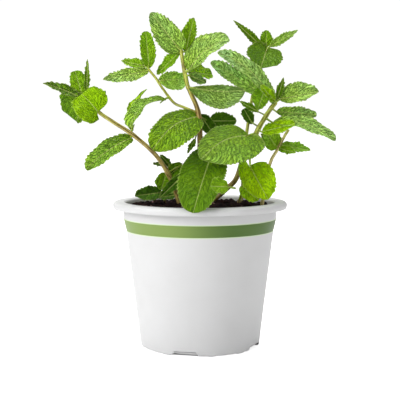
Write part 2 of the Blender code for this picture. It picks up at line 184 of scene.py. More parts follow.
RIGHT = stem(
    [(8, 20, 92), (19, 16, 102), (24, 13, 108), (29, 10, 122), (33, 8, 127), (37, 4, 139), (44, 4, 151),
     (49, 4, 158)],
    2.0, 1.5, 0.5, (150, 132, 72),
    [
        leaf((31, -8, 137), (0.5, -42, 123.5), (17.5, 14.5), (-0.1, -1, 0.5), "heart", 2, fold=3,
             lobes=(0.2, 0), tint=SPRING, sheen=True, curve=0.24, quilt=0.35),
        leaf((16, -54.5, 107.5), (6.5, -57, 108), (6.2, 6.2), (0, -1, 0.8), "round", fold=10,
             stalk=[(19, 16, 102), (22, -20, 104), (20, -46, 106)], tint=GRASS),
        leaf((32, -14, 117), (42.5, -26, 97.5), (12, 10.5), shape="heart", lobes=(0.05, 0.28),
             tint=SUN, quilt=0.1),
        leaf((48, 2, 157), (11, -22, 188.5), (6, 6.2), (-0.5, -1, 0.8), "oblong", 2, 5, tint=PALE_SHEEN,
             sheen=True, quilt=0.35),
        leaf((43, 6, 162), (7, 4, 184), (6, 6), (-0.3, -1, 0.6), "oblong", tint=PALE_SHEEN, sheen=True,
             quilt=0.35),
        leaf((42, 2, 167), (36.5, -12, 153), (5.5, 7), tint=GRASS),
        leaf((38, 8, 152), (26, 14, 159), (2.5, 2.5), shape="slim", tint=MOSS),
        leaf((34, 14, 145), (29, 17, 154), (4, 4), shape="round", tint=DEEP),
        leaf((50, 3, 160), (54, 2, 174), (2.6, 2.6), shape="slim", tint=MOSS),
        leaf((52, 3, 160), (76, -4, 165), (9.5, 6), UP_FRONT, tint=SILVER_SHEEN, sheen=True, quilt=0.35),
        leaf((48, 0, 159), (38.5, -8, 169), (3.5, 3.5), tint=LIME),
        leaf((50, 8, 152), (77, 14, 150), (4.5, 4.5), shape="oblong", tint=SILVER_SHEEN, sheen=True,
             quilt=0.35),
        leaf((47, 0, 145), (86, -14, 134), (6, 7.5), (0, -0.8, 1), "oblong", 6, tint=SILVER_SHEEN, sheen=True,
             quilt=0.35),
        leaf((40, -2, 139), (60, -14, 144.5), (5, 5), (0, -1, 0.5), "oblong", tint=LIME),
    ],
)
FAR_RIGHT = stem(
    [(41, 8, 92), (46, 12, 117), (51, 12, 127), (55, 10, 135), (58, 10, 140)],
    1.3, 1.0, 0.9, (222, 208, 142),
    [
        leaf((51, 12, 128), (42, 6, 140), (6.5, 6.5), tint=SPRING),
        leaf((53, 12, 130), (72, 4, 127), (4.3, 4.3), (0, -1, 0.8), tint=SPRING),
        leaf((52, 9, 128), (62, 1, 125.5), (3.5, 3.5), (0, -1, 0.6), tint=GRASS),
        leaf((41, 14, 137), (44.5, 10, 128), (1.6, 1.6), shape="slim", tint=DEEP),
    ],
)
UPPER_RIGHT = stem(
    [(26, 12, 93), (28, 16, 97), (30, 24, 126), (33, 29, 148), (36, 30, 166), (40, 26, 185), (45, 20, 194)],
    1.4, 1.0, 0.3, (128, 116, 64),
    [
        leaf((28, 4, 103), (38, -3, 95), (6.5, 6), shape="round", tint=LIME),
        leaf((44, 18, 193), (39, 0, 180), (12.5, 12.5), shape="round", lobes=(0.12, 0.25), tint=MOSS,
             quilt=0.15),
        leaf((43, 20, 193), (22, 18, 212), (3, 3), shape="slim", tint=MOSS, tooth=0.7),
        leaf((44, 22, 195), (44, 24, 206), (4.5, 4.5), tint=GRASS),
        leaf((46, 20, 195), (65, 22, 206), (3.3, 3.3), shape="slim", tint=SAGE, tooth=0.7),
    ],
)

PLANTS = {
    "left_arching_stem": [LEFT_ARCH],
    "low_left_stem": [LOW_LEFT],
    "centre_stem": [CENTRE, CENTRE_BRANCH],
    "right_stem": [RIGHT],
    "far_right_stem": [FAR_RIGHT],
    "upper_right_stem": [UPPER_RIGHT],
}


# ---------------------------------------------------------------- meshes

def grid_faces(rows, columns, closed=False, flip=False):
    """Quads of a grid whose points run row by row; closed joins the last column to the first."""
    row = np.arange(rows - 1)[:, None]
    column = np.arange(columns if closed else columns - 1)[None, :]
    after = (column + 1) % columns
    quads = np.stack(
        [row * columns + column, (row + 1) * columns + column, (row + 1) * columns + after,
         row * columns + after], -1
    ).reshape(-1, 4)
    return quads[:, ::-1] if flip else quads


class Sheets:
    """Gathers surfaces into one mesh: points, quads, each quad's finish, and the values finishes read."""

    def __init__(self):
        self.points, self.quads, self.finish, self.values, self.count = [], [], [], [], 0

    def add(self, points, quads, finish, values):
        """values holds, for each point, two numbers for the pattern, three for the veins, a colour and half
        the distance in mm to the leaf's edge."""
        points = points.reshape(-1, 3)
        self.points.append(points)
        self.quads.append(quads + self.count)
        self.finish.append(np.full(len(quads), finish) if np.isscalar(finish) else finish)
        self.values.append(values.reshape(len(points), 9))
        self.count += len(points)

    def piece(self, name, materials, sharp=None):
        points = np.concatenate(self.points) * MM
        quads = np.concatenate(self.quads).astype(np.int32)
        values = np.concatenate(self.values).astype(np.float32)
        mesh = bpy.data.meshes.new(name)
        mesh.vertices.add(len(points))
        mesh.vertices.foreach_set("co", points.astype(np.float32).ravel())
        mesh.loops.add(quads.size)
        mesh.loops.foreach_set("vertex_index", quads.ravel())
        mesh.polygons.add(len(quads))
        mesh.polygons.foreach_set("loop_start", np.arange(0, quads.size, 4, dtype=np.int32))
        mesh.polygons.foreach_set("material_index", np.concatenate(self.finish).astype(np.int32))
        mesh.update(calc_edges=True)
        pattern = mesh.uv_layers.new(name="pattern")
        pattern.data.foreach_set("uv", values[quads.ravel(), :2].ravel())
        vein = mesh.attributes.new("vein", "FLOAT_VECTOR", "POINT")
        vein.data.foreach_set("vector", values[:, 2:5].ravel())
        tint = mesh.attributes.new("tint", "FLOAT_COLOR", "POINT")
        tint.data.foreach_set("color", values[:, 5:].ravel())
        for material in materials:
            mesh.materials.append(material)
        mesh.shade_smooth()
        if sharp:
            mesh.set_sharp_from_angle(angle=math.radians(sharp))
        thing = bpy.data.objects.new(name, mesh)
        bpy.context.scene.collection.objects.link(thing)
        return thing


def smooth_path(joints, count):
    """A Catmull-Rom curve through the joints: each span meets a joint along the line of its neighbours."""
    ends = np.asarray(joints, float)
    ends = np.vstack([2 * ends[0] - ends[1], ends, 2 * ends[-1] - ends[-2]])
    spans = len(ends) - 3
    way = np.linspace(0, spans, count)
    at = np.minimum(way.astype(int), spans - 1)
    part = (way - at)[:, None]
    a, b, c, d = ends[at], ends[at + 1], ends[at + 2], ends[at + 3]
    return 0.5 * (2 * b + (c - a) * part + (2 * a - 5 * b + 4 * c - d) * part**2
                  + (3 * b - a - 3 * c + d) * part**3)


# How much redder, greener and bluer a blade's tip is than its base, as parts of its own colour.
TIP_SHIFT = np.array([0.16, 0.14, 0.9])
# Millimetres of blade for each tooth and each side vein, and the height of the wave along the edge.
TOOTH_STEP, VEIN_STEP, EDGE_WAVE = 2.7, 3.4, 0.6


def blade_surface(one, rows, columns, seed):
    """The upper face of a leaf. Along u it runs from base to tip, lifted by bow and sweep as 4u(1-u). Across
    v a point lies at v times the half width, turned up by the fold. The half width is u and 1-u, each to a
    power. Near the edge it gains rounded forward teeth, one minus the square of a skewed saw. The midrib
    curves to the side as 4u(1-u). The face is raised between the side veins by the power of a sine of the
    vein phase, dips along the midrib and waves at the edge.
    """
    way = np.linspace(0, 1, rows)[:, None, None]
    u = 0.6 * way + 0.2 * (1 - np.cos(np.pi * way))
    v = np.linspace(-1, 1, columns)[None, :, None]
    v = np.sign(v) * np.abs(v) ** 0.85
    base = np.asarray(one["base"], float)
    line = np.asarray(one["tip"], float) - base
    length = np.linalg.norm(line)
    along = line / length
    face = np.asarray(one["face"], float)
    face = unit(face - (face @ along) * along)
    side = np.cross(along, face)
    lift = face * one["bow"] + side * one["sweep"]
    tangent = unit(along * length + lift * 4 * (1 - 2 * u))
    normal = unit(face - (face * tangent).sum(-1, keepdims=True) * tangent)
    across = np.cross(tangent, normal)
    near, far, lobe = SHAPES[one["shape"]]
    crest = near / (near + far)
    swell = np.clip(u, 1e-4, 1) ** near * np.clip(1 - u, 0, 1) ** far / (crest**near * (1 - crest) ** far)
    left, right = one["halves"]
    full = np.where(v < 0, left, right) * swell
    count = max(5, round(length / TOOTH_STEP))
    drift = 0.35 * np.sin(5.3 * u + seed + np.sign(v)) + 0.2 * np.sin(13.1 * u + 2.3 * seed)
    saw = np.mod(u * count + 0.35 + drift, 1) ** 1.6
    bump = (1 - (2 * saw - 1) ** 2) * (0.8 + 0.4 * np.sin(9.7 * u + 1.7 * seed + 2 * np.sign(v)))
    room = smooth_step(0, 0.35 * max(left, right), full) * smooth_step(1, 0.9, u)
    margin = np.abs(v) ** 7
    reach = one["tooth"] * room * margin
    half = np.maximum(full + reach * (bump - 0.6), 0.12 + 0 * v)
    back_left, back_right = one["lobes"] or (lobe, lobe)
    back = np.where(v < 0, back_left, back_right) * length
    fold = math.radians(one["fold"])
    lateral = min(11, max(5, round(length / VEIN_STEP)))
    slope = max(left, right) / length
    from_rib = v - one["curve"] * 4 * u * (1 - u) * (1 - v**2)
    out = np.abs(from_rib)
    vein = lateral * (u - slope * out**1.2) + 0.3
    vein = vein + 0.16 * np.sin(7 * u + 2.1 * seed + 1.5 * from_rib) + 0.1 * np.sin(9 * from_rib + seed)
    calm = smooth_step(0.02, 0.25, out) * (1 - 0.5 * np.abs(v) ** 4) * smooth_step(0, 2.5, full)
    calm = calm * (0.75 + 0.45 * np.sin(3.1 * vein + seed) * np.sin(5 * from_rib + 0.7 * seed))
    puff = one["quilt"] * (np.abs(np.sin(np.pi * vein)) ** 0.7 - 0.6) * calm
    puff -= 0.2 * np.exp(-((from_rib * half / 0.5) ** 2)) * smooth_step(1, 0.7, u)
    edge = EDGE_WAVE * v**2 * np.sin(2 * np.pi * 2.5 * u + 0.8 * np.sign(v))
    edge = edge * np.minimum(1, full / 4)
    points = (
        base + line * u + lift * 4 * u * (1 - u)
        + across * v * half * math.cos(fold)
        + normal * (np.abs(v) * half * math.sin(fold) + puff + edge)
        + tangent * (0.5 * reach * bump - back * v**2 * (1 - u) ** 4)
    )
    shape = (rows, columns, 1)
    colour = linear(one["tint"]) * (1 + (u - 0.5) * TIP_SHIFT)
    colour = np.broadcast_to(colour, (rows, columns, 3))
    rim = np.broadcast_to(np.clip((1 - np.abs(v)) * half / 2, 0, 1), shape)
    values = np.concatenate(
        [
            np.broadcast_to(2 * vein + 13 * seed, shape),
            np.broadcast_to(from_rib * full / 1.1 + 17 * seed, shape),
            np.broadcast_to(vein, shape),
            np.broadcast_to(from_rib * half, shape),
            np.broadcast_to(u + 0 * v, shape),
            colour,
            rim,
        ],
        -1,
    )
    return points, values, np.broadcast_to(v, shape)[..., 0], np.broadcast_to(u, shape)[..., 0]


def add_leaf(sheets, one, seed):
    """A leaf's closed shell: the upper face, the lower face a blade's thickness under it with the midrib
    standing out, and a narrow strip round the edge."""
    size = math.dist(one["base"], one["tip"])
    broad = sum(one["halves"]) > 9
    rows, columns = (81, 41) if size > 24 and broad else (57, 29) if size > 12 else (41, 21)
    top, values, v, u = blade_surface(one, rows, columns, seed)
    normal = unit(np.cross(np.gradient(top, axis=1), np.gradient(top, axis=0)))
    rib = 0.55 * np.exp(-((values[..., 3] / 0.45) ** 2)) * (1 - 0.8 * u)
    thick = 0.12 + 0.22 * (1 - np.abs(v) ** 6) + rib
    toward = np.asarray(one["face"], float)
    if (normal.reshape(-1, 3) @ toward).sum() < 0:
        normal = -normal
    under = top - normal * thick[..., None]
    count = rows * columns
    finish = 1 if one["sheen"] else 0
    sheets.add(top, grid_faces(rows, columns), finish, values)
    sheets.add(under, grid_faces(rows, columns, flip=True), 2, values)
    ring = np.concatenate(
        [np.arange(columns), np.arange(1, rows) * columns + columns - 1,
         (rows - 1) * columns + np.arange(columns - 2, -1, -1), np.arange(rows - 2, 0, -1) * columns]
    )
    after = np.roll(ring, -1)
    strip = np.stack([ring, after, after + count, ring + count], -1)
    sheets.quads.append(strip + sheets.count - 2 * count)
    sheets.finish.append(np.full(len(strip), finish))


def tube_surface(path, radii, sides, square):
    """A tube: each point of the path gets a ring at the radius there, squared off by the fourth harmonic of
    its angle, in a frame carried along without twist from its own start."""
    tangent = unit(np.gradient(path, axis=0))
    first = np.cross(tangent[0], (0.0, 1.0, 0.1))
    normals = [unit(first)]
    for direction in tangent[1:]:
        last = normals[-1]
        normals.append(unit(last - (last @ direction) * direction))
    normal = np.array(normals)[:, None, :]
    other = np.cross(tangent, np.array(normals))[:, None, :]
    angle = np.linspace(0, 2 * np.pi, sides, endpoint=False)[None, :, None]
    ring = radii[:, None, None] * (1 + square * np.cos(4 * angle))
    return path[:, None, :] + ring * (normal * np.cos(angle) + other * np.sin(angle))


def add_tube(sheets, path, radii, colours, sides=12, square=0.0, finish=0):
    """A closed tube with a small rounded end at each end."""
    step = unit(path[1] - path[0]), unit(path[-1] - path[-2])
    ends = [path[0] - step[0] * radii[0] * 0.6, path[-1] + step[1] * radii[-1] * 0.6]
    path = np.vstack([ends[0], path, ends[1]])
    radii = np.concatenate([[radii[0] * 0.02], radii, [radii[-1] * 0.02]])
    colours = np.vstack([colours[:1], colours, colours[-1:]])
    points = tube_surface(path, radii, sides, square)
    rows = len(path)
    gone = np.concatenate([[0], np.cumsum(np.linalg.norm(np.diff(path, axis=0), axis=1))])
    values = np.zeros((rows, sides, 9))
    values[..., 0] = gone[:, None] / 10
    values[..., 1] = np.linspace(0, 1, sides, endpoint=False)
    values[..., 3] = 5
    values[..., 5:8] = colours[:, None, :]
    quads = grid_faces(rows, sides, closed=True)
    sheets.add(points, quads, finish, values)


def stalk_path(one, path):
    """From the stem to the blade's base, and a little way along its midrib."""
    base, tip = np.asarray(one["base"], float), np.asarray(one["tip"], float)
    inside = base + 0.15 * (tip - base)
    if one["stalk"]:
        return np.array([*one["stalk"], base, inside])
    away = np.linalg.norm(path - base, axis=1)
    nearest = path[np.argmin(away)]
    return np.array([nearest, inside]) if away.min() < 3 else np.array([nearest, base, inside])


# How each leaf face looks: colour factors on the raised cells, a painted highlight, and in the grooves, a
# painted shade;
# how strongly the side veins, creases, midrib and rim show, the first two darkened as painted shade, how pale
# the last two are, and how it reflects and passes light.
LEAF_LOOKS = {
    "fresh": dict(cell=(1.14, 1.11, 1.2), groove=(0.55, 0.66, 0.4), side=0.3, dash=0.35, rib=1.0, rim=0.55,
                  pale=0.5, rough=0.5, gloss=0.12, bump=0.7, through=0.2),
    # This look has more real gloss, and its paler, bluer raised cells are painted sheen.
    "glossy_painted_sheen": dict(cell=(1.2, 1.16, 1.4), groove=(0.5, 0.6, 0.38), side=0.3, dash=0.6, rib=1.0, rim=0.6,
                 pale=0.75, rough=0.45, gloss=0.2, bump=1.0, through=0.18),
    "under": dict(cell=(1.1, 1.08, 1.5), groove=(0.8, 0.85, 0.9), side=0.3, dash=0.2, rib=0.8, rim=0.4,
                  pale=0.6, rough=0.6, gloss=0.1, bump=0.5, through=0.25),
}

GREEN_STEM = linear((176, 184, 72))
ROOT = 8.0
SLENDER = 0.88


def add_stem(sheets, one, buried):
    """A stem whose bark turns green on the way up, swollen a little at its leaf joints, and its stalks."""
    path = smooth_path(one["joints"], 16 * len(one["joints"]))
    if buried:
        foot = path[0] - np.outer(np.linspace(ROOT, 0.5, 8), (0, 0, 1))
        path = np.vstack([foot, path])
    share = np.linspace(0, 1, len(path))
    radii = SLENDER * (one["foot"] + (one["top"] - one["foot"]) * share)
    swell = np.zeros(len(path))
    for each in one["leaves"]:
        near = np.linalg.norm(path - np.asarray(each["base"], float), axis=1).argmin()
        swell = np.maximum(swell, np.exp(-(((np.arange(len(path)) - near) / 3.0) ** 2)))
    radii = radii * (1 + 0.12 * swell)
    if one["bark"] > 0:
        green = smooth_step(one["bark"] - 0.25, one["bark"] + 0.2, share)[:, None]
    else:
        green = np.ones((len(path), 1))
    bark = linear(one["skin"])
    add_tube(sheets, path, radii, bark + (GREEN_STEM - bark) * green, 16, 0.06)
    for each in one["leaves"]:
        track = stalk_path(each, path)
        track = smooth_path(track, 16 if len(track) > 2 else 8)
        width = np.linspace(0.85, 0.4, len(track)) * min(1, 0.55 + sum(each["halves"]) / 40)
        colour = 0.4 * GREEN_STEM + 0.6 * linear(each["tint"])
        add_tube(sheets, track, width, np.tile(colour, (len(track), 1)), 8, 0.05)


# ---------------------------------------------------------------- materials

def socket(tree, node, name, value):
    if isinstance(value, bpy.types.NodeSocket):
        tree.links.new(value, node.inputs[name])
    else:
        node.inputs[name].default_value = value


def add_node(tree, kind, settings=None, **inputs):
    node = tree.nodes.new(kind)
    for name, value in (settings or {}).items():
        setattr(node, name, value)
    for name, value in inputs.items():
        key = int(name[1:]) if name[0] == "i" and name[1:].isdigit() else name.replace("_", " ")
        socket(tree, node, key, value)
    return node


def math_node(tree, operation, first, second=0.0, third=None):
    extra = {} if third is None else {"i2": third}
    node = add_node(tree, "ShaderNodeMath", {"operation": operation}, i0=first, i1=second, **extra)
    return node.outputs[0]


def ramp(tree, value, low, high, start=0.0, end=1.0):
    node = add_node(tree, "ShaderNodeMapRange", {"interpolation_type": "SMOOTHSTEP"}, Value=value)
    for name, number in (("From Min", low), ("From Max", high), ("To Min", start), ("To Max", end)):
        node.inputs[name].default_value = number
    return node.outputs[0]


def mix_colour(tree, share, first, second, blend="MIX"):
    node = add_node(tree, "ShaderNodeMix", {"data_type": "RGBA", "blend_type": blend})
    socket(tree, node, 0, share)
    socket(tree, node, 6, first)
    socket(tree, node, 7, second)
    return node.outputs[2]


def new_group(name, inputs, outputs):
    group = bpy.data.node_groups.new(name, "ShaderNodeTree")
    for label, kind, default in inputs:
        made = group.interface.new_socket(label, in_out="INPUT", socket_type=kind)
        made.default_value = default
    for label, kind in outputs:
        group.interface.new_socket(label, in_out="OUTPUT", socket_type=kind)
    return group, group.nodes.new("NodeGroupInput").outputs, group.nodes.new("NodeGroupOutput").inputs


def vein_group():
    """Veins from the vein attribute: its first number is whole on a side vein, its second is the distance in
    mm from the midrib, its third the way along. The fine net and the longer creases are the distance to the
    edges of cells that the pattern coordinates line up with the side veins, broken up by a noise."""
    floats = "NodeSocketFloat"
    group, given, wanted = new_group(
        "leaf_veins",
        [("Side Width", floats, 0.16), ("Net Width", floats, 0.22)],
        [("Rib", floats), ("Side", floats), ("Net", floats), ("Height", floats), ("Mottle", floats),
         ("Rim", floats), ("Dash", floats)],
    )
    numbers = add_node(group, "ShaderNodeAttribute", {"attribute_name": "vein"}).outputs["Vector"]
    parts = add_node(group, "ShaderNodeSeparateXYZ", Vector=numbers).outputs
    pattern = add_node(group, "ShaderNodeUVMap", {"uv_map": "pattern"}).outputs[0]
    flat = {"noise_dimensions": "2D"}
    wander = add_node(group, "ShaderNodeTexNoise", flat, Vector=pattern, Scale=0.45, Detail=2.0).outputs[0]
    phase = math_node(group, "ADD", parts[0], math_node(group, "MULTIPLY", wander, 0.8))
    whole = math_node(group, "FRACT", math_node(group, "ADD", phase, 0.1))
    off = math_node(group, "ABSOLUTE", math_node(group, "SUBTRACT", whole, 0.5))
    off = math_node(group, "SUBTRACT", 0.5, off)
    side = ramp(group, math_node(group, "DIVIDE", off, given["Side Width"]), 0.0, 1.0, 1.0, 0.0)
    middle = math_node(group, "ABSOLUTE", parts[1])
    width = math_node(group, "SUBTRACT", 0.72, math_node(group, "MULTIPLY", parts[2], 0.45))
    rib = ramp(group, math_node(group, "DIVIDE", middle, width), 0.35, 1.0, 1.0, 0.0)
    shift = add_node(group, "ShaderNodeTexNoise", flat, Vector=pattern, Scale=0.8).outputs[1]
    shift = add_node(group, "ShaderNodeVectorMath", {"operation": "SCALE"}, i0=shift, Scale=0.7).outputs[0]
    bent = add_node(group, "ShaderNodeVectorMath", {"operation": "ADD"}, i0=pattern, i1=shift).outputs[0]
    to_edge = {"voronoi_dimensions": "2D", "feature": "DISTANCE_TO_EDGE"}
    cells = add_node(group, "ShaderNodeTexVoronoi", to_edge, Vector=bent, Scale=1.35).outputs["Distance"]
    line = ramp(group, math_node(group, "DIVIDE", cells, given["Net Width"]), 0.0, 1.0, 1.0, 0.0)
    breaks = add_node(group, "ShaderNodeTexNoise", flat, Vector=pattern, Scale=0.9, Detail=1.0).outputs[0]
    line = math_node(group, "MULTIPLY", line, ramp(group, breaks, 0.36, 0.56, 0.15, 1.0))
    net = math_node(group, "SUBTRACT", 1.0, line)
    drawn = add_node(group, "ShaderNodeMapping", Vector=bent, Scale=(0.85, 0.4, 1.0)).outputs[0]
    creases = add_node(group, "ShaderNodeTexVoronoi", to_edge, Vector=drawn, Scale=1.0).outputs["Distance"]
    dash = ramp(group, creases, 0.014, 0.14, 1.0, 0.0)
    dash = math_node(group, "MULTIPLY", dash, ramp(group, breaks, 0.42, 0.54))
    shade = add_node(group, "ShaderNodeTexNoise", flat, Vector=pattern, Scale=0.3, Detail=3.0,
                     Roughness=0.6)
    rim = add_node(group, "ShaderNodeAttribute", {"attribute_name": "tint"}).outputs["Alpha"]
    rim = ramp(group, rim, 0.12, 0.38, 1.0, 0.0)
    height = math_node(group, "SUBTRACT", net, math_node(group, "MULTIPLY", side, 1.2))
    height = math_node(group, "SUBTRACT", height, math_node(group, "MULTIPLY", dash, 1.6))
    height = math_node(group, "ADD", height, math_node(group, "MULTIPLY", rib, 0.4))
    outs = {"Rib": rib, "Side": side, "Net": net, "Height": height, "Mottle": shade.outputs[0],
            "Rim": rim, "Dash": dash}
    for name, value in outs.items():
        group.links.new(value, wanted[name])
    return group


def new_material(name):
    made = bpy.data.materials.new(name)
    made.use_nodes = True
    tree = made.node_tree
    return made, tree, tree.nodes["Principled BSDF"], tree.nodes["Material Output"]


def leaf_material(name, veins, looks):
    """A leaf face: the leaf's own colour, lighter on the raised cells as painted highlight, darker in the
    net, creases and side veins as painted shade, pale on the midrib and at the rim, with some light let
    through from behind."""
    made, tree, shader, output = new_material(name)
    group = add_node(tree, "ShaderNodeGroup", {"node_tree": veins})
    tint = add_node(tree, "ShaderNodeAttribute", {"attribute_name": "tint"}).outputs["Color"]
    # low is the tint darkened as painted shade in the grooves, high the tint lightened as painted highlight
    # on the raised cells.
    low = mix_colour(tree, 1.0, tint, (*looks["groove"], 1), "MULTIPLY")
    high = mix_colour(tree, 1.0, tint, (*looks["cell"], 1), "MULTIPLY")
    base = mix_colour(tree, group.outputs["Net"], low, high)
    # The side veins and creases are darkened towards the groove and crease colours: painted shade in their
    # sunken lines.
    base = mix_colour(tree, math_node(tree, "MULTIPLY", group.outputs["Side"], looks["side"]), base, low)
    crease_shade = mix_colour(tree, 1.0, tint, (0.24, 0.38, 0.1, 1), "MULTIPLY")
    base = mix_colour(tree, math_node(tree, "MULTIPLY", group.outputs["Dash"], looks["dash"]), base, crease_shade)
    cloud = ramp(tree, group.outputs["Mottle"], 0.35, 0.65, 0.9, 1.1)
    shade = add_node(tree, "ShaderNodeCombineColor", Red=cloud, Green=cloud, Blue=cloud).outputs[0]
    base = mix_colour(tree, 1.0, base, shade, "MULTIPLY")
    place = add_node(tree, "ShaderNodeTexCoord").outputs["Object"]
    drift = add_node(tree, "ShaderNodeTexNoise", Vector=place, Scale=75.0, Detail=1.0).outputs[0]
    drift = mix_colour(tree, ramp(tree, drift, 0.38, 0.62), (0.95, 0.98, 1.1, 1), (1.07, 1.03, 0.88, 1))
    base = mix_colour(tree, 1.0, base, drift, "MULTIPLY")
    pale = mix_colour(tree, looks["pale"], tint, (*linear((232, 247, 146)), 1))
    edge = math_node(tree, "MULTIPLY", group.outputs["Rim"], looks["rim"])
    edge = math_node(tree, "MAXIMUM", edge, math_node(tree, "MULTIPLY", group.outputs["Rib"], looks["rib"]))
    base = mix_colour(tree, edge, base, pale)
    tree.links.new(base, shader.inputs["Base Color"])
    shader.inputs["Roughness"].default_value = looks["rough"]
    shader.inputs["Specular IOR Level"].default_value = looks["gloss"]
    relief = add_node(tree, "ShaderNodeBump", Strength=looks["bump"], Distance=0.0006,
                      Height=group.outputs["Height"])
    tree.links.new(relief.outputs[0], shader.inputs["Normal"])
    glow = add_node(tree, "ShaderNodeBsdfTranslucent", Color=base)
    tree.links.new(relief.outputs[0], glow.inputs["Normal"])
    blend = add_node(tree, "ShaderNodeMixShader", i0=looks["through"], i1=shader.outputs[0],
                     i2=glow.outputs[0])
    tree.links.new(blend.outputs[0], output.inputs["Surface"])
    return made


def stem_material():
    """Stem skin: the stem's own colour with long fibre stripes, their darker grooves partly painted shade and
    their paler ridges partly painted highlight.
    """
    made, tree, shader, _ = new_material("stem_skin")
    tint = add_node(tree, "ShaderNodeAttribute", {"attribute_name": "tint"}).outputs["Color"]
    pattern = add_node(tree, "ShaderNodeUVMap", {"uv_map": "pattern"}).outputs[0]
    stretch = add_node(tree, "ShaderNodeMapping", Vector=pattern, Scale=(0.5, 2.6, 1.0)).outputs[0]
    fibre = add_node(tree, "ShaderNodeTexNoise", Vector=stretch, Scale=3.0, Detail=4.0).outputs[0]
    # The fibre colour runs from dark in the grooves to pale on the ridges: fibre pattern with painted shade
    # and highlight.
    shade = mix_colour(tree, ramp(tree, fibre, 0.36, 0.62), (0.42, 0.34, 0.24, 1), (1.3, 1.28, 1.2, 1))
    tree.links.new(mix_colour(tree, 1.0, tint, shade, "MULTIPLY"), shader.inputs["Base Color"])
    shader.inputs["Roughness"].default_value = 0.36
    relief = add_node(tree, "ShaderNodeBump", Strength=0.5, Distance=0.0003, Height=fibre)
    tree.links.new(relief.outputs[0], shader.inputs["Normal"])
    return made


def soil_material():
    """Dark damp compost: crumbs from near black to red brown, with a few pale flecks."""
    made, tree, shader, _ = new_material("damp_compost")
    place = add_node(tree, "ShaderNodeTexCoord").outputs["Object"]
    crumbs = add_node(tree, "ShaderNodeTexVoronoi", Vector=place, Scale=520.0)
    pick = add_node(tree, "ShaderNodeSeparateColor", Color=crumbs.outputs["Color"]).outputs
    broad = add_node(tree, "ShaderNodeTexNoise", Vector=place, Scale=160.0, Detail=6.0, Roughness=0.7)
    base = mix_colour(tree, pick[0], (*linear((5, 3, 3)), 1), (*linear((44, 24, 22)), 1))
    damp = ramp(tree, broad.outputs[0], 0.4, 0.62, 0.0, 0.65)
    base = mix_colour(tree, damp, base, (*linear((12, 7, 7)), 1))
    fleck = ramp(tree, pick[1], 0.975, 0.98)
    base = mix_colour(tree, fleck, base, (*linear((120, 96, 92)), 1))
    tree.links.new(base, shader.inputs["Base Color"])
    shader.inputs["Roughness"].default_value = 1.0
    shader.inputs["Specular IOR Level"].default_value = 0.08
    fine = add_node(tree, "ShaderNodeTexNoise", Vector=place, Scale=1400.0, Detail=3.0).outputs[0]
    relief = add_node(tree, "ShaderNodeBump", Strength=0.7, Distance=0.0004, Height=fine)
    tree.links.new(relief.outputs[0], shader.inputs["Normal"])
    return made


BAND_LOW, BAND_HIGH = 75.7, 83.1


def pot_material():
    """White pot plastic with a printed green band, painted paler at the left and darker at the right as
    painted light and shade, with a thin pale line at its edges as a painted highlight.
    """
    made, tree, shader, _ = new_material("pot_plastic")
    place = add_node(tree, "ShaderNodeTexCoord").outputs["Object"]
    sides = add_node(tree, "ShaderNodeSeparateXYZ", Vector=place).outputs
    across = math_node(tree, "MULTIPLY", sides[0], 1000.0)
    height = math_node(tree, "MULTIPLY", sides[2], 1000.0)
    away = math_node(tree, "ABSOLUTE", math_node(tree, "SUBTRACT", height, (BAND_LOW + BAND_HIGH) / 2))
    half = (BAND_HIGH - BAND_LOW) / 2
    band = ramp(tree, away, half - 0.06, half + 0.06, 1.0, 0.0)
    # A thin pale line along both edges of the band: a painted highlight.
    line = ramp(tree, away, half + 0.25, half + 0.7, 1.0, 0.0)
    cloud = add_node(tree, "ShaderNodeTexNoise", Vector=place, Scale=60.0, Detail=3.0).outputs[0]
    white = mix_colour(tree, cloud, (0.68, 0.68, 0.68, 1), (0.73, 0.73, 0.735, 1))
    # The band's green is painted lighter at the left, where the key light falls, and darker at the right:
    # painted light and shade.
    band_lit_green, band_shaded_green = (*linear((130, 155, 75)), 1), (*linear((75, 110, 25)), 1)
    base = mix_colour(tree, line, white, (*linear((214, 232, 190)), 1))
    green = mix_colour(tree, ramp(tree, across, -22.0, 22.0), band_lit_green, band_shaded_green)
    base = mix_colour(tree, band, base, green)
    tree.links.new(base, shader.inputs["Base Color"])
    shader.inputs["Roughness"].default_value = 0.38
    fine = add_node(tree, "ShaderNodeTexNoise", Vector=place, Scale=900.0, Detail=2.0).outputs[0]
    relief = add_node(tree, "ShaderNodeBump", Strength=0.08, Distance=0.0002, Height=fine)
    tree.links.new(relief.outputs[0], shader.inputs["Normal"])
    return made


# ---------------------------------------------------------------- pot and soil

BASE_RADIUS, WALL_RADIUS, WALL_HEIGHT = 38.7, 47.8, 75.5
COLLAR_RADIUS, COLLAR_BOTTOM = 49.5, 83.0
LIP_RADIUS, LIP_UNDERSIDE, LIP_LEAN, RIM_TOP = 57.0, 89.8, 1.0, 94.2
WALL, FLOOR = 1.2, 1.8
NOTCH_ANGLES = (-14.0, 66.0, 166.0, 246.0)
NOTCH_HEIGHT, NOTCH_FOOT, NOTCH_HEAD = 3.2, 20.0, 14.0
FOOT_SPANS = ((-38.0, -29.0), (8.0, 14.4), (38.0, 46.0), (100.0, 108.0), (140.0, 148.0), (196.0, 204.0),
              (280.0, 288.0))


